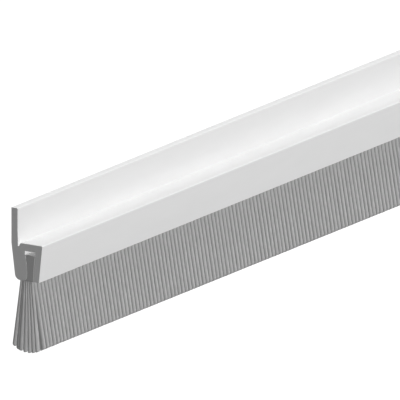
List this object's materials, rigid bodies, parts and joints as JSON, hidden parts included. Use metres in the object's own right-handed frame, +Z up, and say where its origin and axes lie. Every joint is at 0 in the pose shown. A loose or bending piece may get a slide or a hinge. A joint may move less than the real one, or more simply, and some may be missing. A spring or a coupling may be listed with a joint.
{
  "type": "door seal strip",
  "caption": "Straight brush strip for a door's edge: a pale carrier profile with an upright fixing flange grips a splayed fan of bristles in its lower channel.",
  "frame": {"origin": "centre of the flat fixing face at the back of the flange", "axes": "+X along the strip, +Y out of the fixing face towards the door it is fixed to, +Z up with the bristles pointing down"},
  "size_m": [1, 0.0091, 0.0371],
  "materials": {
    "carrier": "smooth white rigid extruded plastic",
    "backing": "dull dark grey plastic",
    "bristles": "grey synthetic bristle"
  },
  "bodies": {
    "root": {"carrier_profile": "carrier", "brush_backing": "backing", "bristles": "bristles"}
  },
  "joints": []
}
